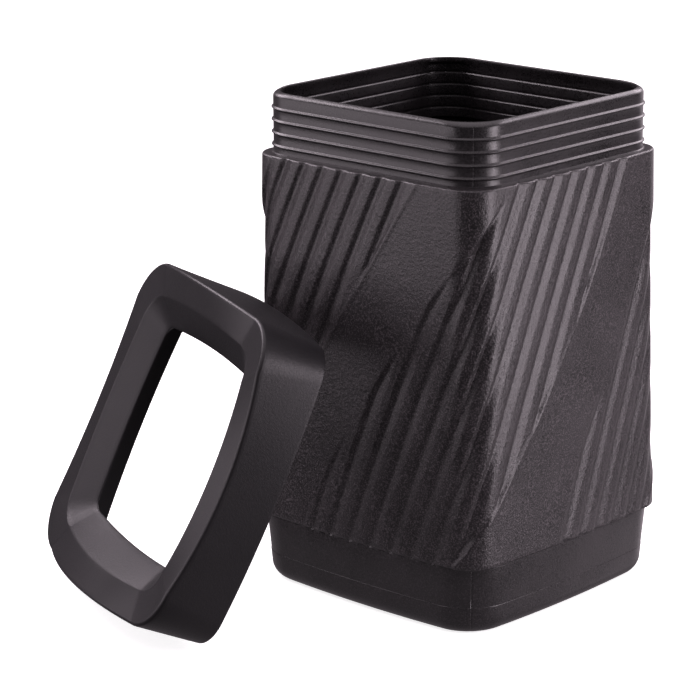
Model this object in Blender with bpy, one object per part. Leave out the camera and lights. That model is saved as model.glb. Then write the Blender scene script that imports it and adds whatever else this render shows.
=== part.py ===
"""Square open-top litter bin: a blow-moulded canister and its lift-off funnel lid.

Metres, +Z up.  The origin is the centre of the canister's flat underside.
The lid is off: it stands on the floor and leans on the canister's -X -Y corner.
"""
import math

import bpy
import bmesh
import numpy as np
from mathutils import Matrix, Vector

# A section is (half width at mid side, how far its sides bow out, corner radius).
# ---------------------------------------------------------------- canister
HEIGHT = 0.7746            # floor to the lip
WALL = 0.0035              # wall of both mouldings
FLOOR = 0.005              # bottom of the canister
PANEL_TOP = 0.6760         # ribbed panels end here, under the shoulder
PANEL_BOTTOM = 0.1120      # and stand proud of the base band here
BASE = (0.2335, 0.0054, 0.0763)
BASE_FILLET = 0.026
BAND_TOP = (0.2380, 0.0048, 0.0740)
PANEL_LOW = (0.2403, 0.0060, 0.0520)
PANEL_HIGH = (0.2312, 0.0060, 0.0475)
SHOULDER_RISE = 0.0035     # rounded edge of the shoulder
NECK = (0.2159, 0.0000, 0.0583)
BEAD_PITCH = 0.0190
BEAD_FIRST = 0.6926
BEADS = 4
BEAD_PROUD = 0.0027
BEAD_HALF = 0.0048
LIP = (0.2109, 0.0000, 0.0640)      # mouth, at the inner edge of the lip
LIP_START = 0.7580         # the neck starts to curl inwards

# ---------------------------------------------------------------- twisted ribs
SIDES = 4
RIBS_PER_SIDE = 11
TWIST_A = 1.13             # sideways run of a rib, in sides per metre of fall
TWIST_B = 0.30
PHASE_EVEN = -0.192        # rib phase on the front and back groups
PHASE_ODD = 0.286          # and on the two between them
RIB_DEPTH_TOP = 0.0042
RIB_DEPTH_LOW = 0.0030
CORNER_CUT_TOP = 0.0060    # the rib groups also cut the canister's corners back
CORNER_CUT_LOW = 0.0020
CORNER_REACH = 0.11        # in sides, either way from the corner
CORNER_DEEPER = 0.60       # and their valleys are this much deeper there
RIB_RISE = 0.44            # share of the pitch taken by the long slope
RIB_FALL = 0.22            # and by the short one, on the far side of the crest
EDGE_SOFT = 0.030
# edges of a rib group, in sides from its own centre: at the top, and how they run
EDGES_EVEN = ((-0.420, -0.17, -0.30), (0.279, -0.37, -0.30))
EDGES_ODD = ((-0.355, -0.87, 0.40), (0.305, 0.03, -1.05))

# ---------------------------------------------------------------- lid
LID_SKIRT = (0.2513, 0.0128, 0.0564)
LID_WALL_TOP = (0.2498, 0.0065, 0.0755)
LID_FUNNEL_TOP = (0.2045, 0.0092, 0.0506)
LID_OPENING = (0.1605, 0.0058, 0.0213)
LID_RIDGE_Z = 0.1078       # height of the ridge at the corners
LID_RIDGE_R = 0.0050
# the ridge dips at the middle of the X sides, arches over the Y sides, and the ends of -X are lower
LID_RIDGE_SADDLE = (0.0175, 0.0206, 0.0095)
LID_FUNNEL_Z = 0.1015
LID_FUNNEL_SADDLE = (0.0064, 0.0105, 0.0055)
LID_OPENING_Z = 0.0692
LID_TURN = math.radians(-21.128)
LID_TILT = math.radians(90.0 - 25.002)
LID_SPIN = math.radians(-1.085)
LID_AT = (-0.2014, -0.3488)
FLOOR_GAP = 0.0001

PANEL_ROWS = 14
INNER_ROWS = 11


def outline(w, s, r, n_side=7, n_arc=9):
    """Points of a rounded square with bowed sides, and how far along its side each one is."""
    c = w - r - s
    x = np.linspace(-c, c, n_side)
    y = -(w - r) + s * (x / c) ** 2
    normal = np.c_[2 * s * x / c ** 2, -np.ones_like(x)]
    normal /= np.linalg.norm(normal, axis=1)[:, None]
    side = np.c_[x, y] + r * normal
    first = math.atan2(normal[-1, 1], normal[-1, 0])
    turn = np.linspace(first, -math.pi / 2 - first, n_arc)[1:-1]
    corner = np.array([c, -c]) + r * np.c_[np.cos(turn), np.sin(turn)]
    quarter = np.vstack([side, corner])
    points = []
    for k in range(SIDES):
        ca, sa = math.cos(k * math.pi / 2), math.sin(k * math.pi / 2)
        points.append(quarter @ np.array([[ca, sa], [-sa, ca]]))
    along = np.r_[x / c, np.ones(len(turn))]
    return np.vstack(points), np.tile(along, SIDES)


class Outline:
    """The same curve by position: 0 is the middle of the front side, 1 of the right side."""

    def __init__(self, w, s, r):
        points, _ = outline(w, s, r, 61, 41)
        start = int(np.argmin(np.abs(points[:61, 0])))
        points = np.roll(points, -start, axis=0)
        self.points = np.vstack([points, points[:1]])
        step = np.linalg.norm(np.diff(self.points, axis=0), axis=1)
        self.arc = np.r_[0.0, np.cumsum(step)]
        self.arc *= 4.0 / self.arc[-1]
        along = np.roll(self.points[:-1], -1, axis=0) - np.roll(self.points[:-1], 1, axis=0)
        out = np.c_[along[:, 1], -along[:, 0]]
        out /= np.linalg.norm(out, axis=1)[:, None]
        self.out = np.vstack([out, out[:1]])

    def at(self, u, lift):
        u = np.asarray(u) % 4.0
        p = np.c_[np.interp(u, self.arc, self.points[:, 0]), np.interp(u, self.arc, self.points[:, 1])]
        n = np.c_[np.interp(u, self.arc, self.out[:, 0]), np.interp(u, self.arc, self.out[:, 1])]
        n /= np.linalg.norm(n, axis=1)[:, None]
        return p + n * np.asarray(lift)[:, None]


def smooth(x):
    x = np.clip(x, 0.0, 1.0)
    return x * x * (3.0 - 2.0 * x)


def edge(form, fall):
    return form[0] + form[1] * fall + form[2] * fall * fall


def odd_share(v):
    """0 on the front and back rib groups, 1 on the two between, with a step in the gap."""
    m = np.asarray(v) % 2.0
    return smooth((m - 0.27) / 0.09) * (1.0 - smooth((m - 1.31) / 0.12))


def rib_count(v):
    return RIBS_PER_SIDE * v + PHASE_EVEN + (PHASE_ODD - PHASE_EVEN) * odd_share(v)


def rib_lift(v, u, fall):
    """Height of the panel skin above the plain bands, on rib line v at position u, fall below the top."""
    s = rib_count(v) % 1.0
    shape = np.clip(np.minimum(s / RIB_RISE, (1.0 - s) / RIB_FALL), 0.0, 1.0)
    share = fall / (PANEL_TOP - PANEL_BOTTOM)
    corner = 1.0 - smooth(np.abs(u % 1.0 - 0.5) / CORNER_REACH)
    depth = RIB_DEPTH_TOP + (RIB_DEPTH_LOW - RIB_DEPTH_TOP) * share
    depth = depth * (1.0 + CORNER_DEEPER * corner)
    cut = CORNER_CUT_TOP + (CORNER_CUT_LOW - CORNER_CUT_TOP) * share
    mask = np.zeros_like(v)
    for k in range(-2, 7):
        lo, hi = EDGES_EVEN if k % 2 == 0 else EDGES_ODD
        left = smooth((v - k - edge(lo, fall)) / EDGE_SOFT)
        right = smooth((k + edge(hi, fall) - v) / EDGE_SOFT)
        mask = np.maximum(mask, left * right)
    return -mask * (depth * (1.0 - shape) + cut * corner)


def rib_columns(shares):
    """Rib lines to put columns of vertices on, at these shares of the pitch on every rib."""
    fine = np.linspace(0.0, SIDES, 8001)
    count = rib_count(fine)
    first = math.ceil(count[0])
    wanted = np.array([first + k + share for k in range(SIDES * RIBS_PER_SIDE) for share in shares])
    wanted[wanted > count[-1]] -= SIDES * RIBS_PER_SIDE
    return np.sort(np.interp(wanted, count, fine))


def by_angle(ring):
    """The ring from its lowest angle on, closed, and the angles."""
    angle = [math.atan2(v.co.y, v.co.x) for v in ring]
    k = int(np.argmin(angle))
    order = ring[k:] + ring[:k]
    angle = angle[k:] + angle[:k]
    return order + order[:1], angle + [angle[0] + 2.0 * math.pi]


class Shell:
    """A closed skin built ring by ring."""

    def __init__(self):
        self.bm = bmesh.new()
        self.last = None

    def ring(self, points):
        new = [self.bm.verts.new(Vector([float(c) for c in p])) for p in points]
        if self.last is not None:
            self.join(self.last, new)
        self.last = new

    def join(self, a, b):
        if len(a) == len(b):
            for i in range(len(a)):
                j = (i + 1) % len(a)
                self.bm.faces.new((a[i], a[j], b[j], b[i]))
        else:
            self.join_by_angle(a, b)

    def join_by_angle(self, a, b):
        """Join two rings of different counts, walking both round the Z axis."""
        ring_a, turn_a = by_angle(a)
        ring_b, turn_b = by_angle(b)
        i = j = 0
        while i < len(a) or j < len(b):
            next_a = turn_a[i + 1] + turn_a[i] if i < len(a) else math.inf
            next_b = turn_b[j + 1] + turn_b[j] if j < len(b) else math.inf
            if next_a <= next_b:
                self.bm.faces.new((ring_a[i], ring_a[i + 1], ring_b[j]))
                i += 1
            else:
                self.bm.faces.new((ring_a[i], ring_b[j + 1], ring_b[j]))
                j += 1

    def cap(self, ring, point):
        tip = self.bm.verts.new(Vector([float(c) for c in point]))
        for i in range(len(ring)):
            self.bm.faces.new((ring[i], ring[(i + 1) % len(ring)], tip))

    def make(self, name, colour, roughness):
        bmesh.ops.recalc_face_normals(self.bm, faces=self.bm.faces)
        if self.bm.calc_volume(signed=True) < 0:
            bmesh.ops.reverse_faces(self.bm, faces=self.bm.faces)
        mesh = bpy.data.meshes.new(name)
        self.bm.to_mesh(mesh)
        self.bm.free()
        obj = bpy.data.objects.new(name, mesh)
        bpy.context.scene.collection.objects.link(obj)
        mat = bpy.data.materials.new(name)
        mat.use_nodes = True
        bsdf = mat.node_tree.nodes["Principled BSDF"]
        bsdf.inputs["Base Color"].default_value = (*colour, 1.0)
        bsdf.inputs["Roughness"].default_value = roughness
        mat.diffuse_color = (*colour, 1.0)
        mesh.materials.append(mat)
        return obj


def grown(form, by):
    """The section by metres larger all round."""
    w, s, r = form
    return (w + by, s, max(r + by, 0.008))


def flat_ring(form, z):
    points, _ = outline(*form)
    return np.c_[points, np.full(len(points), z)]


def fillet_rings(form, z, radius, steps):
    """Rings of a bottom edge rounding: from the flat underside out to the full section."""
    rings = []
    for i in range(steps + 1):
        a = math.pi / 2 * (i / steps)
        rings.append(flat_ring(grown(form, -radius * (1.0 - math.sin(a))), z + radius * (1.0 - math.cos(a))))
    return rings


def bead_rings(form, steps):
    """Neck wall with its beads, bottom to top; steps are (height, proud) shares of one bead."""
    rings = []
    for k in range(BEADS):
        z = BEAD_FIRST + k * BEAD_PITCH
        for height, proud in steps:
            rings.append(flat_ring(grown(form, BEAD_PROUD * proud), z + height * BEAD_HALF))
    return rings


def panel_ring(columns, low, high, share, inset):
    """One ring of the ribbed panels, share of the way up, set in from the skin by inset."""
    z = PANEL_BOTTOM + share * (PANEL_TOP - PANEL_BOTTOM)
    fall = PANEL_TOP - z
    u = columns - TWIST_A * fall + TWIST_B * fall * fall
    lift = rib_lift(columns, u, fall) - inset
    points = (1.0 - share) * low.at(u, lift) + share * high.at(u, lift)
    return np.c_[points, np.full(len(points), z)]


def canister():
    shell = Shell()
    # underside and base band, which widens upwards
    rings = fillet_rings(BASE, 0.0, BASE_FILLET, 4)
    shell.ring(rings[0])
    shell.cap(shell.last[::-1], (0.0, 0.0, 0.0))
    for ring in rings[1:]:
        shell.ring(ring)
    shell.ring(flat_ring(BAND_TOP, PANEL_BOTTOM - 0.003))
    # ribbed panels, columns of vertices along the valley and both edges of the crest of each rib
    low, high = Outline(*PANEL_LOW), Outline(*PANEL_HIGH)
    columns = rib_columns((0.0, RIB_RISE, 1.0 - RIB_FALL))
    for share in np.linspace(0.0, 1.0, PANEL_ROWS):
        shell.ring(panel_ring(columns, low, high, share, 0.0))
    edge_ring = panel_ring(columns, low, high, 1.0, 0.0030)
    edge_ring[:, 2] += SHOULDER_RISE
    shell.ring(edge_ring)
    # shoulder ledge, beaded neck and lip
    shell.ring(flat_ring(grown(NECK, 0.0012), PANEL_TOP + SHOULDER_RISE + 0.0016))
    for ring in bead_rings(NECK, ((-1.0, 0.0), (-0.35, 0.95), (0.35, 0.95), (1.0, 0.0))):
        shell.ring(ring)
    shell.ring(flat_ring(NECK, LIP_START))
    shell.ring(flat_ring(grown(NECK, -0.0008), LIP_START + 0.0080))
    shell.ring(flat_ring(grown(LIP, 0.0022), HEIGHT - 0.0020))
    shell.ring(flat_ring(grown(LIP, 0.0009), HEIGHT))
    shell.ring(flat_ring(grown(LIP, -0.0010), HEIGHT - 0.0008))
    # inside, downwards: the beads show as grooves, and the ribs show through the even wall
    neck_in, band_in = grown(NECK, -WALL), grown(BAND_TOP, -WALL)
    shell.ring(flat_ring(grown(LIP, -0.0011), LIP_START + 0.0060))
    for ring in bead_rings(neck_in, ((-1.0, 0.0), (0.0, 1.0), (1.0, 0.0)))[::-1]:
        shell.ring(ring)
    shell.ring(flat_ring(neck_in, PANEL_TOP))
    inner_columns = rib_columns((0.0, 0.60))
    for share in np.linspace(0.982, 0.0, INNER_ROWS):
        ring = panel_ring(inner_columns, low, high, share, WALL)
        ring[:, 2] += 0.003 * (1.0 - share)
        shell.ring(ring)
    shell.ring(flat_ring(band_in, PANEL_BOTTOM - 0.010))
    for ring in fillet_rings(grown(BASE, -WALL), FLOOR, BASE_FILLET - WALL, 3)[::-1]:
        shell.ring(ring)
    shell.cap(shell.last, (0.0, 0.0, FLOOR))
    return shell.make("canister_body", (0.030, 0.028, 0.029), 0.55)


def lid_ring(form, z, saddle=(0.0, 0.0, 0.0)):
    """A ring of the lid at height z; saddle says how far its sides leave that height."""
    points, along = outline(*form, n_side=9, n_arc=9)
    dip, arch, droop = saddle
    middle = 1.0 - along ** 2
    x, y = points.T
    x_side = np.abs(x) > np.abs(y)
    height = z + np.where(x_side, -dip, arch) * middle
    height += droop * (np.where(x_side & (x < 0), middle, 0.0) - (np.minimum(x, 0.0) / form[0]) ** 2)
    return np.c_[points, height]


def lid():
    shell = Shell()
    r = LID_RIDGE_R
    band = LID_WALL_TOP[0] - r - LID_FUNNEL_TOP[0]
    half_way = tuple((a + b) / 2 for a, b in zip(LID_RIDGE_SADDLE, LID_FUNNEL_SADDLE))
    middle_z = (LID_RIDGE_Z + LID_FUNNEL_Z) / 2
    rings = [
        lid_ring(grown(LID_SKIRT, -0.0010), 0.0),
        lid_ring(LID_SKIRT, 0.0010),
        lid_ring(LID_WALL_TOP, LID_RIDGE_Z - r, LID_RIDGE_SADDLE),
        lid_ring(grown(LID_WALL_TOP, -0.3 * r), LID_RIDGE_Z - 0.3 * r, LID_RIDGE_SADDLE),
        lid_ring(grown(LID_WALL_TOP, -r), LID_RIDGE_Z, LID_RIDGE_SADDLE),
        lid_ring(grown(LID_WALL_TOP, -r - band / 2), middle_z, half_way),
        lid_ring(grown(LID_FUNNEL_TOP, 0.0012), LID_FUNNEL_Z + 0.0003, LID_FUNNEL_SADDLE),
        lid_ring(grown(LID_FUNNEL_TOP, -0.0012), LID_FUNNEL_Z - 0.0012, LID_FUNNEL_SADDLE),
        lid_ring(grown(LID_OPENING, 0.0008), LID_OPENING_Z + 0.0006),
        lid_ring(LID_OPENING, LID_OPENING_Z - 0.0006),
        lid_ring(grown(LID_OPENING, 0.0004), LID_OPENING_Z - 0.0028),
        # underside
        lid_ring(grown(LID_OPENING, 0.0026), LID_OPENING_Z - 0.0031),
        lid_ring(grown(LID_FUNNEL_TOP, 0.0010), LID_FUNNEL_Z - 0.0048, LID_FUNNEL_SADDLE),
        lid_ring(grown(LID_WALL_TOP, -r - band / 2), middle_z - WALL, half_way),
        lid_ring(grown(LID_WALL_TOP, -r - 0.0020), LID_RIDGE_Z - WALL, LID_RIDGE_SADDLE),
        lid_ring(grown(LID_WALL_TOP, -WALL), LID_RIDGE_Z - r - 0.0020, LID_RIDGE_SADDLE),
        lid_ring(grown(LID_SKIRT, -WALL), 0.0),
    ]
    shell.ring(rings[0])
    first = shell.last
    for ring in rings[1:]:
        shell.ring(ring)
    shell.join(shell.last, first)
    return shell.make("lid", (0.042, 0.040, 0.042), 0.45)


def lean(obj):
    """Stand the lid on its lower edge, leaning back towards the canister."""
    turn = (Matrix.Rotation(LID_TURN, 4, "Z") @ Matrix.Rotation(LID_TILT, 4, "X")
            @ Matrix.Rotation(LID_SPIN, 4, "Z"))
    obj.data.transform(turn)
    lowest = min(v.co.z for v in obj.data.vertices)
    obj.data.transform(Matrix.Translation((LID_AT[0], LID_AT[1], FLOOR_GAP - lowest)))
    obj.data.update()


for old in list(bpy.data.objects):
    bpy.data.objects.remove(old, do_unlink=True)

canister()
lean(lid())
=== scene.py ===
"""Looks for the square open-top litter bin: fine meshes, moulded-plastic materials, studio, camera.

The canister and the lid are rebuilt finely here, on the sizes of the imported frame, and stand for
the plain CAD shells.  Metres, +Z up, origin at the centre of the canister's underside.
"""
import math

import bpy
import numpy as np
from mathutils import Matrix, Vector


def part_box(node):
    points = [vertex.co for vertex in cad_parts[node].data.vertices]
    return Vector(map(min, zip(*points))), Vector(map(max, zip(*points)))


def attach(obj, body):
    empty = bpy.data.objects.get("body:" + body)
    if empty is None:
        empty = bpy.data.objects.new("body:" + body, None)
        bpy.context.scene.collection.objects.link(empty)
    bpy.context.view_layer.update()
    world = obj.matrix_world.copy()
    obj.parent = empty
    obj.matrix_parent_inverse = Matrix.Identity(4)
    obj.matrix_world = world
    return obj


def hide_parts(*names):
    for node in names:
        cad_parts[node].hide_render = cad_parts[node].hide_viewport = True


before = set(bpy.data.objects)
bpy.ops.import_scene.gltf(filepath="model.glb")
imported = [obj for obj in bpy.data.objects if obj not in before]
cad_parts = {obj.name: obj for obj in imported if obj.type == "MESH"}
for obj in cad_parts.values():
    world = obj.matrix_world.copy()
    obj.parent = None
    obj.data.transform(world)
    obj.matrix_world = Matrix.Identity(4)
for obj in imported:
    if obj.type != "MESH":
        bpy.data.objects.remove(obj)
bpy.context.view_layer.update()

# A section is (half width at mid side, how far its sides bow out, corner radius).
# ---------------------------------------------------------------- canister sizes
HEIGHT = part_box("canister_body")[1].z
WALL = 0.0035
FLOOR = 0.0050
PANEL_TOP = 0.6760
PANEL_BOTTOM = 0.1120
BASE = (0.2335, 0.0054, 0.0763)
BASE_FILLET = 0.026
BAND_TOP = (0.2380, 0.0048, 0.0740)
PANEL_LOW = (0.2403, 0.0060, 0.0520)
PANEL_HIGH = (0.2312, 0.0060, 0.0475)
SHOULDER_ROUND = 0.0035
NECK = (0.2159, 0.0000, 0.0583)
LIP = (0.2109, 0.0000, 0.0640)
LIP_START = 0.7658
LIP_CURL = 0.0095          # radius the neck curls over at, before the thin edge of the lip
LIP_TURN = math.radians(62.0)
BEAD_FIRST = 0.6926
BEAD_PITCH = 0.0190
BEADS = 4
BEAD_PROUD = 0.0027
BEAD_HALF = 0.0034
WITNESS_Z = 0.0450         # faint step round the base band
SEAM_AT = (0.5, 2.5)       # mould parting line, on two opposite corners
SEAM_HALF = 0.0035
SEAM_DEEP = 0.0008

# ---------------------------------------------------------------- twisted ribs
SIDES = 4
RIBS_PER_SIDE = 11
COLUMNS_PER_RIB = 14
PANEL_ROWS = 150
INNER_ROWS = 50
TWIST_A = 1.13             # sideways run of a rib, in sides per metre of fall
TWIST_B = 0.30
PHASE_EVEN = -0.192        # front and back rib groups
PHASE_ODD = 0.286          # the two between them
RIB_DEPTH_TOP = 0.0042
RIB_DEPTH_LOW = 0.0030
RIB_RISE = 0.44            # share of the pitch taken by the long slope
RIB_FALL = 0.22            # and by the short one, on the far side of the crest
CORNER_CUT_TOP = 0.0060    # the rib groups also cut the canister's corners back
CORNER_CUT_LOW = 0.0020
CORNER_REACH = 0.11
CORNER_DEEPER = 0.60
EDGE_DROP = 0.022          # how far into a group, in sides, the ribs take to reach full depth
RIDGE_PROUD = 0.0008       # low ridge along the far edge of a group
RIDGE_RISE = 0.013
RIDGE_END = (0.015, 0.020)  # where the ridge starts to fade, and over how far
FAR_EDGE = (0.012, 0.024)  # the same for the ribs at that edge
PHASE_SWAPS = ((0.27, 0.09), (1.31, 0.12))  # where the rib phase changes, and over how far
# edges of a rib group, in sides from its own centre: at the top, and how they run
EDGES_EVEN = ((-0.420, -0.17, -0.30), (0.279, -0.37, -0.30))
EDGES_ODD = ((-0.355, -0.87, 0.40), (0.305, 0.03, -1.05))

# ---------------------------------------------------------------- lid sizes
LID_SKIRT = (0.2513, 0.0128, 0.0564)
LID_WALL_TOP = (0.2498, 0.0065, 0.0755)
LID_FUNNEL_TOP = (0.2045, 0.0092, 0.0506)
LID_OPENING = (0.1605, 0.0058, 0.0213)
LID_RIDGE_Z = 0.1078       # height of the ridge at the corners
LID_RIDGE_R = 0.0050
# the ridge dips at the middle of the X sides, arches over the Y sides, and the ends of -X are lower
LID_RIDGE_SADDLE = (0.0175, 0.0206, 0.0095)
LID_FUNNEL_Z = 0.1015
LID_FUNNEL_SADDLE = (0.0064, 0.0105, 0.0055)
LID_OPENING_Z = 0.0692
LID_TURN = math.radians(-21.128)
LID_TILT = math.radians(90.0 - 25.002)
LID_SPIN = math.radians(-1.085)


# ---------------------------------------------------------------- shapes
def outline(w, s, r, n_side, n_arc):
    """Rounded square with bowed sides: points, and how far along its side each one is."""
    c = w - r - s
    x = np.linspace(-c, c, n_side)
    y = -(w - r) + s * (x / c) ** 2
    normal = np.c_[2 * s * x / c ** 2, -np.ones_like(x)]
    normal /= np.linalg.norm(normal, axis=1)[:, None]
    side = np.c_[x, y] + r * normal
    a0 = math.atan2(normal[-1, 1], normal[-1, 0])
    t = np.linspace(a0, -math.pi / 2 - a0, n_arc)[1:-1]
    corner = np.array([c, -c]) + r * np.c_[np.cos(t), np.sin(t)]
    along = np.r_[x / c, np.ones(len(t))]
    quarter = np.vstack([side, corner])
    points = []
    for k in range(4):
        ca, sa = math.cos(k * math.pi / 2), math.sin(k * math.pi / 2)
        points.append(quarter @ np.array([[ca, sa], [-sa, ca]]))
    return np.vstack(points), np.tile(along, 4)


class Outline:
    """The same curve by position: 0 is the middle of the front side, 1 of the right side."""

    def __init__(self, w, s, r):
        points, _ = outline(w, s, r, 161, 121)
        points = np.roll(points, -int(np.argmin(np.abs(points[:161, 0]))), axis=0)
        self.points = np.vstack([points, points[:1]])
        step = np.linalg.norm(np.diff(self.points, axis=0), axis=1)
        self.arc = np.r_[0.0, np.cumsum(step)]
        self.arc *= 4.0 / self.arc[-1]
        along = np.roll(points, -1, axis=0) - np.roll(points, 1, axis=0)
        out = np.c_[along[:, 1], -along[:, 0]]
        out /= np.linalg.norm(out, axis=1)[:, None]
        self.out = np.vstack([out, out[:1]])

    def at(self, u, lift=0.0):
        u = np.asarray(u) % 4.0
        p = np.c_[np.interp(u, self.arc, self.points[:, 0]), np.interp(u, self.arc, self.points[:, 1])]
        n = np.c_[np.interp(u, self.arc, self.out[:, 0]), np.interp(u, self.arc, self.out[:, 1])]
        n /= np.linalg.norm(n, axis=1)[:, None]
        return p + n * (np.zeros(len(u)) + lift)[:, None]


def smooth(x):
    x = np.clip(x, 0.0, 1.0)
    return x * x * (3.0 - 2.0 * x)


def edge(form, fall):
    return form[0] + form[1] * fall + form[2] * fall * fall


def rib_count(v):
    m = np.asarray(v) % 2.0
    (on, on_width), (off, off_width) = PHASE_SWAPS
    odd = smooth((m - on) / on_width) * (1.0 - smooth((m - off) / off_width))
    return RIBS_PER_SIDE * v + PHASE_EVEN + (PHASE_ODD - PHASE_EVEN) * odd


def rib_lift(v, u, fall):
    """Height of the skin above the plain bands, on rib line v at position u, fall below the top."""
    s = rib_count(v) % 1.0
    slope = np.clip(np.minimum(s / RIB_RISE, (1.0 - s) / RIB_FALL), 0.0, 1.0)
    shape = 0.4 * slope + 0.6 * smooth(slope)
    share = fall / (PANEL_TOP - PANEL_BOTTOM)
    corner = 1.0 - smooth(np.abs(u % 1.0 - 0.5) / CORNER_REACH)
    depth = RIB_DEPTH_TOP + (RIB_DEPTH_LOW - RIB_DEPTH_TOP) * share
    depth = depth * (1.0 + CORNER_DEEPER * corner)
    cut = CORNER_CUT_TOP + (CORNER_CUT_LOW - CORNER_CUT_TOP) * share
    lift = -depth * (1.0 - shape) - cut * corner
    total = np.zeros_like(v)
    for k in range(-2, 7):
        lo, hi = EDGES_EVEN if k % 2 == 0 else EDGES_ODD
        left = v - k - edge(lo, fall)
        right = k + edge(hi, fall) - v
        start = smooth(left / EDGE_DROP)
        mask = start * smooth((right - FAR_EDGE[0]) / FAR_EDGE[1])
        ridge = smooth(right / RIDGE_RISE) * (1.0 - smooth((right - RIDGE_END[0]) / RIDGE_END[1])) * start
        total = total + mask * lift + ridge * RIDGE_PROUD
    return total


class Shell:
    """A skin built ring by ring from numpy points, with one number per ring for surface grain and its
    painted glint specks.
    """

    def __init__(self):
        self.points, self.faces, self.grain, self.count = [], [], [], 0
        self.last = None

    def ring(self, points, grain=0.0):
        ids = np.arange(len(points)) + self.count
        self.count += len(points)
        self.points.append(np.asarray(points, float))
        self.grain.append(np.full(len(points), grain, float))
        if self.last is not None:
            self.join(self.last, ids)
        self.last = ids
        return ids

    def join(self, a, b):
        if len(a) == len(b):
            for i in range(len(a)):
                j = (i + 1) % len(a)
                self.faces.append((a[i], a[j], b[j], b[i]))
            return
        every = np.vstack(self.points)
        ring_a, turn_a = by_angle(a, every)
        ring_b, turn_b = by_angle(b, every)
        i = j = 0
        while i < len(a) or j < len(b):
            next_a = turn_a[i + 1] + turn_a[i] if i < len(a) else math.inf
            next_b = turn_b[j + 1] + turn_b[j] if j < len(b) else math.inf
            if next_a <= next_b:
                self.faces.append((ring_a[i], ring_a[i + 1], ring_b[j]))
                i += 1
            else:
                self.faces.append((ring_a[i], ring_b[j + 1], ring_b[j]))
                j += 1

    def cap(self, ring, point, grain=0.0):
        self.points.append(np.array([point], float))
        self.grain.append(np.array([grain]))
        tip = self.count
        self.count += 1
        for i in range(len(ring)):
            self.faces.append((ring[i], ring[(i + 1) % len(ring)], tip))

    def make(self, name, sharp=35.0):
        points = np.vstack(self.points)
        mesh = bpy.data.meshes.new(name)
        mesh.from_pydata(points.tolist(), [], [tuple(int(i) for i in f) for f in self.faces])
        # grain amount per point: sets the grain's bump and roughness, and how many painted glint specks
        # it carries
        grain = mesh.attributes.new("grain", "FLOAT", "POINT")
        grain.data.foreach_set("value", np.concatenate(self.grain).astype(np.float32))
        mesh.validate()
        obj = bpy.data.objects.new(name, mesh)
        bpy.context.scene.collection.objects.link(obj)
        mesh.shade_smooth()
        mesh.set_sharp_from_angle(angle=math.radians(sharp))
        return obj


def by_angle(ring, every):
    angle = np.arctan2(every[ring, 1], every[ring, 0])
    k = int(np.argmin(angle))
    order = np.roll(ring, -k)
    angle = np.roll(angle, -k)
    return np.r_[order, order[:1]], np.r_[angle, angle[0] + 2.0 * math.pi]


def plain_columns():
    """Positions round the plain rings, closer together at the parting lines."""
    u = list(np.linspace(0.0, SIDES, 4 * 96, endpoint=False))
    for seam in SEAM_AT:
        u = [x for x in u if abs(x - seam) > 3.2 * SEAM_HALF]
        u += [seam + SEAM_HALF * f for f in (-3, -2, -1.3, -1, -0.6, -0.25, 0, 0.25, 0.6, 1, 1.3, 2, 3)]
    return np.sort(np.array(u))


def seam_lift(u):
    lift = np.zeros_like(u)
    for seam in SEAM_AT:
        lift -= SEAM_DEEP * (1.0 - smooth((np.abs(u - seam) - 0.2 * SEAM_HALF) / (0.9 * SEAM_HALF)))
    return lift


def grown(form, by):
    w, s, r = form
    return (w + by, s, max(r + by, 0.008))


def between(a, b, share):
    """Part of the way from a to b, number by number."""
    return tuple(x + (y - x) * share for x, y in zip(a, b))


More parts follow.
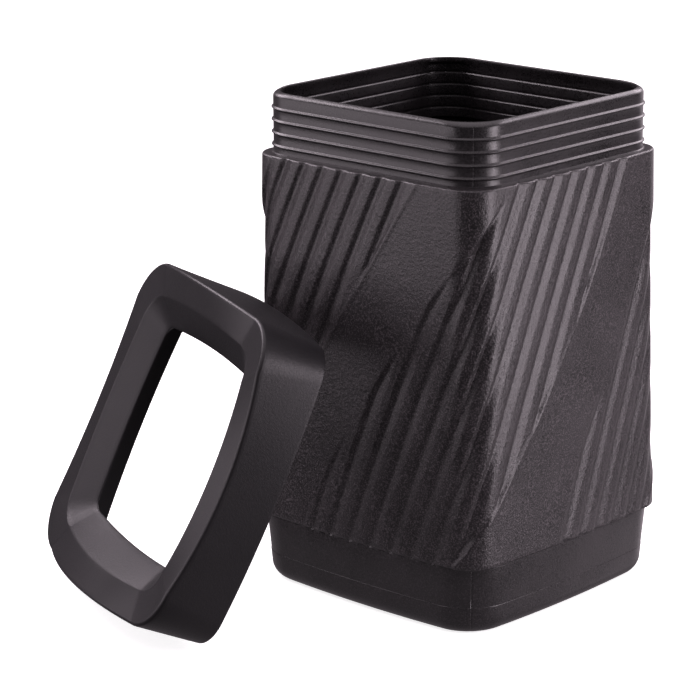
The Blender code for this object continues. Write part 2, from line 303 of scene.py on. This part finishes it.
def canister():
    shell = Shell()
    u = plain_columns()

    def plain(form, z, grain=0.0, seam=1.0):
        return shell.ring(np.c_[Outline(*form).at(u, seam * seam_lift(u)), np.full(len(u), z)], grain)

    def band(z, inset=0.0, grain=0.35):
        share = (z - BASE_FILLET) / (PANEL_BOTTOM - BASE_FILLET)
        plain(grown(between(BASE, BAND_TOP, share), -inset), z, grain)

    # underside, bottom edge and base band, with a faint witness line round it
    first = plain(grown(BASE, -BASE_FILLET), 0.0, 0.2, 0.0)
    shell.cap(first[::-1], (0.0, 0.0, 0.0), 0.2)
    for i in range(1, 13):
        a = math.pi / 2 * i / 12
        plain(grown(BASE, -BASE_FILLET * (1 - math.sin(a))),
              BASE_FILLET * (1 - math.cos(a)), 0.35, i / 12)
    for z, inset in ((WITNESS_Z - 0.0008, 0.0), (WITNESS_Z, 0.0001),
                     (WITNESS_Z + 0.0005, 0.0005), (0.0700, 0.0005)):
        band(z, inset)
    band(PANEL_BOTTOM - 0.0070, 0.0003)
    # ribbed panels, proud of the band on a small ledge
    low, high = Outline(*PANEL_LOW), Outline(*PANEL_HIGH)
    v = np.linspace(0.0, SIDES, SIDES * RIBS_PER_SIDE * COLUMNS_PER_RIB, endpoint=False)

    def panel(z, inset=0.0, at=None, grain=1.0):
        share = (z - PANEL_BOTTOM) / (PANEL_TOP - PANEL_BOTTOM)
        fall = PANEL_TOP - z
        run = v - TWIST_A * fall + TWIST_B * fall * fall
        lift = rib_lift(v, run, fall) - inset
        points = (1.0 - share) * low.at(run, lift) + share * high.at(run, lift)
        shell.ring(np.c_[points, np.full(len(v), z if at is None else at)], grain)

    band(PANEL_BOTTOM - 0.0034, 0.0008)
    for inset, dz in ((0.0016, -0.0020), (0.0005, -0.0010)):
        panel(PANEL_BOTTOM, inset, PANEL_BOTTOM + dz)
    for z in np.linspace(PANEL_BOTTOM + 0.0006, PANEL_TOP, PANEL_ROWS):
        panel(z)
    # rounded shoulder edge, ledge, beaded neck
    for i in range(1, 5):
        a = math.pi / 2 * i / 4
        panel(PANEL_TOP, SHOULDER_ROUND * (1 - math.cos(a)), PANEL_TOP + SHOULDER_ROUND * math.sin(a))
    ledge = PANEL_TOP + SHOULDER_ROUND
    plain(grown(NECK, 0.0046), ledge + 0.0006, 0.5)
    plain(grown(NECK, 0.0022), ledge + 0.0012, 0.35)
    plain(grown(NECK, 0.0007), ledge + 0.0024, 0.35)

    def beads(form, proud, grain, order):
        for k in order(range(BEADS)):
            z = BEAD_FIRST + k * BEAD_PITCH
            for a in order(range(-6, 7)):
                share = 0.5 + 0.5 * math.cos(math.pi * a / 6)
                plain(grown(form, proud * share), z + BEAD_HALF * a / 6, grain, 0.5)

    beads(NECK, BEAD_PROUD, 0.25, list)
    reach = NECK[0] - LIP[0]
    for i in range(13):
        a = LIP_TURN * i / 12
        plain(between(NECK, LIP, LIP_CURL * (1 - math.cos(a)) / reach),
              LIP_START + LIP_CURL * math.sin(a), 0.2, 0.7)
    for by, dz in ((0.0000, -0.0001), (0.0006, 0.0), (0.0012, -0.0004), (0.0016, -0.0014)):
        plain(grown(LIP, -by), HEIGHT + dz, 0.2, 0.5)
    # inside, downwards: the beads show as grooves and the ribs through the even wall
    inner = grown(NECK, -WALL)
    plain(grown(LIP, -0.0012), HEIGHT - 0.0070, 0.15, 0.0)
    plain(inner, LIP_START - 0.0040, 0.15, 0.0)
    beads(inner, 0.35 * BEAD_PROUD, 0.15, lambda r: list(r)[::-1])
    plain(inner, PANEL_TOP + 0.0010, 0.15, 0.0)
    for z in np.linspace(PANEL_TOP - 0.0060, PANEL_BOTTOM, INNER_ROWS):
        panel(z, WALL, z + 0.003 * (PANEL_TOP - z) / (PANEL_TOP - PANEL_BOTTOM), 0.15)
    plain(grown(BAND_TOP, -WALL), PANEL_BOTTOM - 0.0100, 0.15, 0.0)
    radius = BASE_FILLET - WALL
    for i in range(9):
        a = math.pi / 2 * (1 - i / 8)
        plain(grown(BASE, -WALL - radius * (1 - math.sin(a))),
              FLOOR + radius * (1 - math.cos(a)), 0.15, 0.0)
    shell.cap(shell.last, (0.0, 0.0, FLOOR), 0.15)
    return shell.make("canister_moulding", 38.0)


def lid():
    shell = Shell()
    turn = (Matrix.Rotation(LID_TURN, 4, "Z") @ Matrix.Rotation(LID_TILT, 4, "X")
            @ Matrix.Rotation(LID_SPIN, 4, "Z"))
    turn = np.array(turn)[:3, :3]
    flat = (0.0, 0.0, 0.0)

    def ring(form, z, saddle=flat, grain=0.3):
        points, along = outline(*form, n_side=49, n_arc=25)
        dip, arch, droop = saddle
        middle = 1.0 - along ** 2
        x, y = points.T
        x_side = np.abs(x) > np.abs(y)
        height = z + np.where(x_side, -dip, arch) * middle
        height += droop * (np.where(x_side & (x < 0), middle, 0.0) - (np.minimum(x, 0.0) / form[0]) ** 2)
        return shell.ring(np.c_[points, height] @ turn.T, grain)

    r = LID_RIDGE_R
    first = ring(grown(LID_SKIRT, -0.0030), 0.0)
    ring(grown(LID_SKIRT, -0.0012), 0.0001)
    ring(grown(LID_SKIRT, -0.0003), 0.0006)
    ring(LID_SKIRT, 0.0016, flat, 0.6)
    for t in (0.04, 0.2, 0.4, 0.6, 0.8, 0.96, 1.0):
        ring(between(LID_SKIRT, LID_WALL_TOP, t), 0.0016 + (LID_RIDGE_Z - r - 0.0016) * t,
             between(flat, LID_RIDGE_SADDLE, t), 0.6 if t < 1.0 else 0.1)
    for i in range(1, 11):
        a = math.radians(9.0 * i)
        ring(grown(LID_WALL_TOP, -r * (1 - math.cos(a))), LID_RIDGE_Z - r + r * math.sin(a),
             LID_RIDGE_SADDLE, 0.1)
    # band from the ridge in to the funnel, then the funnel
    start = grown(LID_WALL_TOP, -r)
    for t in (0.05, 0.15, 0.3, 0.45, 0.6, 0.75, 0.88, 0.96):
        ring(between(start, LID_FUNNEL_TOP, t), LID_RIDGE_Z + (LID_FUNNEL_Z - LID_RIDGE_Z) * t,
             between(LID_RIDGE_SADDLE, LID_FUNNEL_SADDLE, t), 0.15)
    ring(grown(LID_FUNNEL_TOP, 0.0006), LID_FUNNEL_Z + 0.0001, LID_FUNNEL_SADDLE, 0.15)
    ring(grown(LID_FUNNEL_TOP, -0.0005), LID_FUNNEL_Z - 0.0005, LID_FUNNEL_SADDLE, 0.3)
    top = grown(LID_FUNNEL_TOP, -0.0012)
    for t in np.linspace(0.02, 0.97, 9):
        ring(between(top, LID_OPENING, t),
             LID_FUNNEL_Z - 0.0012 + (LID_OPENING_Z - LID_FUNNEL_Z + 0.0012) * t,
             between(LID_FUNNEL_SADDLE, flat, t), 0.7)
    ring(LID_OPENING, LID_OPENING_Z - 0.0006, flat, 0.1)
    ring(grown(LID_OPENING, 0.0003), LID_OPENING_Z - 0.0030, flat, 0.1)
    # underside
    ring(grown(LID_OPENING, 0.0026), LID_OPENING_Z - 0.0034, flat, 0.1)
    ring(grown(LID_FUNNEL_TOP, 0.0010), LID_FUNNEL_Z - 0.0050, LID_FUNNEL_SADDLE, 0.1)
    ring(between(start, LID_FUNNEL_TOP, 0.5), (LID_RIDGE_Z + LID_FUNNEL_Z) / 2 - WALL,
         between(LID_RIDGE_SADDLE, LID_FUNNEL_SADDLE, 0.5), 0.1)
    ring(grown(start, -0.0020), LID_RIDGE_Z - WALL, LID_RIDGE_SADDLE, 0.1)
    ring(grown(LID_WALL_TOP, -WALL - 0.0008), LID_RIDGE_Z - r, LID_RIDGE_SADDLE, 0.1)
    ring(grown(LID_WALL_TOP, -WALL), LID_RIDGE_Z - r - 0.0020, LID_RIDGE_SADDLE, 0.1)
    ring(grown(LID_SKIRT, -WALL), 0.0016, flat, 0.1)
    shell.join(shell.last, first)
    obj = shell.make("lid_moulding", 32.0)
    # stand it where the frame's lid stands
    low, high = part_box("lid")
    co = np.vstack(shell.points)
    mine_low, mine_high = co.min(0), co.max(0)
    shift = (Vector(low) + Vector(high)) / 2 - Vector((mine_low + mine_high) / 2)
    obj.data.transform(Matrix.Translation(shift))
    return obj


# ---------------------------------------------------------------- materials
def moulded_plastic(name, colour, painted_glint_colour, rough, grain_mm, bump_mm, ior):
    """Charcoal polyethylene: leather grain where the mould had it, with painted glints as light specks on
    the grain, satin elsewhere, faintly clouded.
    """
    mat = bpy.data.materials.new(name)
    mat.use_nodes = True
    nodes, links = mat.node_tree.nodes, mat.node_tree.links
    bsdf = nodes["Principled BSDF"]
    where = nodes.new("ShaderNodeTexCoord")
    grained = nodes.new("ShaderNodeAttribute")
    grained.attribute_name = "grain"

    def noise(scale, detail, rough_=0.55):
        n = nodes.new("ShaderNodeTexNoise")
        n.inputs["Scale"].default_value = scale
        n.inputs["Detail"].default_value = detail
        n.inputs["Roughness"].default_value = rough_
        links.new(where.outputs["Object"], n.inputs["Vector"])
        return n.outputs["Fac"]

    def spread(value, lo, hi, out_lo, out_hi):
        m = nodes.new("ShaderNodeMapRange")
        for key, x in zip(("From Min", "From Max", "To Min", "To Max"), (lo, hi, out_lo, out_hi)):
            m.inputs[key].default_value = x
        links.new(value, m.inputs["Value"])
        return m.outputs["Result"]

    def maths(kind, a, b):
        m = nodes.new("ShaderNodeMath")
        m.operation = kind
        for socket, x in zip(m.inputs, (a, b)):
            if isinstance(x, (int, float)):
                socket.default_value = x
            else:
                links.new(x, socket)
        return m.outputs[0]

    fine = noise(1000.0 / grain_mm, 2.0)
    coarse = noise(450.0 / grain_mm, 3.0)
    cloud = noise(9.0, 4.0)
    mix = nodes.new("ShaderNodeMix")
    mix.data_type = "RGBA"
    mix.inputs["A"].default_value = (*colour, 1.0)
    mix.inputs["B"].default_value = (*painted_glint_colour, 1.0)
    # painted glints: lighter specks where the fine grain noise runs high, scaled by the grain amount
    painted_glint = maths("MULTIPLY", spread(fine, 0.48, 0.70, 0.0, 1.0), grained.outputs["Fac"])
    links.new(maths("ADD", maths("MULTIPLY", painted_glint, 0.85), spread(cloud, 0.35, 0.7, 0.0, 0.12)),
              mix.inputs["Factor"])
    links.new(mix.outputs["Result"], bsdf.inputs["Base Color"])
    shine = maths("ADD", spread(cloud, 0.3, 0.7, rough - 0.03, rough + 0.04),
                  maths("MULTIPLY", maths("SUBTRACT", fine, 0.45), 0.45))
    links.new(maths("ADD", shine, maths("MULTIPLY", grained.outputs["Fac"], 0.06)),
              bsdf.inputs["Roughness"])
    bump = nodes.new("ShaderNodeBump")
    bump.inputs["Distance"].default_value = bump_mm / 1000.0
    bump.inputs["Strength"].default_value = 1.0
    height = maths("ADD", maths("MULTIPLY", fine, 0.5), coarse)
    links.new(maths("MULTIPLY", height, grained.outputs["Fac"]), bump.inputs["Height"])
    links.new(bump.outputs["Normal"], bsdf.inputs["Normal"])
    bsdf.inputs["IOR"].default_value = ior
    return mat


# colour, colour of the painted glint specks, roughness, grain size and bump height in mm, index of
# refraction
CANISTER_LOOK = ((0.006, 0.0054, 0.0058), (0.090, 0.080, 0.086), 0.29, 2.2, 0.65, 1.5)
LID_LOOK = ((0.010, 0.0093, 0.0105), (0.018, 0.0168, 0.0188), 0.38, 1.6, 0.35, 1.43)

body = canister()
body.data.materials.append(moulded_plastic("canister_plastic", *CANISTER_LOOK))
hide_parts("canister_body")
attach(body, "canister")

top = lid()
top.data.materials.append(moulded_plastic("lid_plastic", *LID_LOOK))
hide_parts("lid")
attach(top, "lid")


# ---------------------------------------------------------------- studio
WALLS = 0.12               # radiance of the studio's walls and floor, as the plastic sees them
CEILING = 1.5
FLOOR_GLOW = 0.80
LIGHT_TINT = (1.0, 0.88, 0.96)
PANELS = (                 # name, azimuth, distance, lowest and highest z, width, radiance
    ("light_left", 329.0, 2.0, 0.15, 0.95, 2.3, 2.2),
    ("light_right", 152.0, 2.0, -1.30, 0.15, 0.9, 0.50),
    ("light_near_right", 104.0, 2.0, -0.20, 1.25, 0.80, 8.2),
    ("light_back_right", 180.0, 1.8, -0.60, 1.40, 0.9, 1.0),
)
GROUND = (1.20, 0.20)      # side and radiance of the lit floor round the bin
TOP_LIGHTS = (             # name, azimuth, elevation, distance, width, height, radiance
    ("light_top_left", 292.0, 38.0, 2.0, 1.5, 0.7, 9.0),
    ("light_top_right", 162.0, 36.0, 2.0, 1.7, 0.7, 7.0),
)


def compass(azimuth, elevation, distance, middle=(0.0, 0.0, 0.4)):
    """A place seen from the middle: azimuth 0 is in front (-Y), 90 is to the right (+X)."""
    a, e = math.radians(azimuth), math.radians(elevation)
    away = Vector((math.sin(a) * math.cos(e), -math.cos(a) * math.cos(e), math.sin(e)))
    return Vector(middle) + distance * away


def softbox(name, place, aim, width, height, radiance):
    """A soft area light of even radiance, facing its aim."""
    data = bpy.data.lights.new(name, "AREA")
    data.shape = "RECTANGLE"
    data.size, data.size_y = width, height
    data.energy = radiance * math.pi * width * height
    data.color = LIGHT_TINT
    obj = bpy.data.objects.new(name, data)
    bpy.context.scene.collection.objects.link(obj)
    obj.location = place
    obj.rotation_euler = (aim - place).to_track_quat("-Z", "Y").to_euler()
    obj.visible_camera = False


def sky(world):
    """White behind the set for the camera; for the plastic, a dim studio with a bright ceiling."""
    world.use_nodes = True
    nodes, links = world.node_tree.nodes, world.node_tree.links
    nodes.clear()
    where = nodes.new("ShaderNodeTexCoord")
    split = nodes.new("ShaderNodeSeparateXYZ")
    links.new(where.outputs["Generated"], split.inputs["Vector"])
    height = nodes.new("ShaderNodeMapRange")
    height.interpolation_type = "SMOOTHSTEP"
    for key, x in zip(("From Min", "From Max", "To Min", "To Max"), (0.45, 0.95, WALLS, CEILING)):
        height.inputs[key].default_value = x
    links.new(split.outputs["Z"], height.inputs["Value"])
    dim = nodes.new("ShaderNodeBackground")
    dim.inputs["Color"].default_value = (*LIGHT_TINT, 1.0)
    links.new(height.outputs["Result"], dim.inputs["Strength"])
    white = nodes.new("ShaderNodeBackground")
    white.inputs["Strength"].default_value = 1.0
    path = nodes.new("ShaderNodeLightPath")
    mix = nodes.new("ShaderNodeMixShader")
    links.new(path.outputs["Is Camera Ray"], mix.inputs["Fac"])
    links.new(dim.outputs["Background"], mix.inputs[1])
    links.new(white.outputs["Background"], mix.inputs[2])
    out = nodes.new("ShaderNodeOutputWorld")
    links.new(mix.outputs["Shader"], out.inputs["Surface"])


def pale_floor():
    """A pale floor that takes a soft shadow; the plastic doesn't see it."""
    mesh = bpy.data.meshes.new("floor")
    half = 30.0
    corners = [(-half, -half, 0), (half, -half, 0), (half, half, 0), (-half, half, 0)]
    mesh.from_pydata(corners, [], [(0, 1, 2, 3)])
    floor = bpy.data.objects.new("floor", mesh)
    bpy.context.scene.collection.objects.link(floor)
    mat = bpy.data.materials.new("floor")
    mat.use_nodes = True
    bsdf = mat.node_tree.nodes["Principled BSDF"]
    bsdf.inputs["Base Color"].default_value = (0.90, 0.90, 0.90, 1.0)
    bsdf.inputs["Roughness"].default_value = 0.9
    bsdf.inputs["Specular IOR Level"].default_value = 0.1
    bsdf.inputs["Emission Color"].default_value = (1.0, 1.0, 1.0, 1.0)
    bsdf.inputs["Emission Strength"].default_value = FLOOR_GLOW
    mesh.materials.append(mat)
    floor.visible_glossy = False
    floor.visible_diffuse = False
    floor.visible_shadow = False


def studio():
    pale_floor()
    for name, azimuth, distance, low, high, width, radiance in PANELS:
        middle = (0.0, 0.0, (low + high) / 2)
        place = compass(azimuth, 0.0, distance, middle)
        softbox(name, place, Vector(middle), width, high - low, radiance)
    for name, azimuth, elevation, distance, width, height, radiance in TOP_LIGHTS:
        place = compass(azimuth, elevation, distance)
        softbox(name, place, Vector((0.0, 0.0, 0.5)), width, height, radiance)
    side, radiance = GROUND
    softbox("ground", Vector((0.0, 0.0, -0.03)), Vector((0.0, 0.0, 1.0)), side, side, radiance)
    world = bpy.data.worlds.new("studio")
    sky(world)
    bpy.context.scene.world = world


CAMERA_AT = (40.497, 15.174, 4.416)  # azimuth, elevation, distance
CAMERA_AIM = (2.2402, 0.4788, -0.30)  # yaw and pitch off the bin's middle, and roll
CAMERA_LENS = 146.51


def camera():
    """A long lens a little above the bin, aimed between its mouth and the leaning lid."""
    azimuth, elevation, distance = CAMERA_AT
    yaw, pitch, roll = map(math.radians, (azimuth + CAMERA_AIM[0], elevation + CAMERA_AIM[1],
                                          CAMERA_AIM[2]))
    forward = Vector((-math.sin(yaw) * math.cos(pitch), math.cos(yaw) * math.cos(pitch),
                      -math.sin(pitch)))
    right = Vector((math.cos(yaw), math.sin(yaw), 0.0))
    up = right.cross(forward)
    right, up = (math.cos(roll) * right + math.sin(roll) * up,
                 math.cos(roll) * up - math.sin(roll) * right)
    data = bpy.data.cameras.new("camera")
    data.lens = CAMERA_LENS
    data.sensor_width = 36.0
    obj = bpy.data.objects.new("camera", data)
    bpy.context.scene.collection.objects.link(obj)
    turn = Matrix((right, up, -forward)).transposed().to_4x4()
    obj.matrix_world = Matrix.Translation(compass(azimuth, elevation, distance)) @ turn
    bpy.context.scene.camera = obj


studio()
camera()
bpy.context.scene.view_settings.view_transform = "Standard"
bpy.context.scene.view_settings.look = "None"
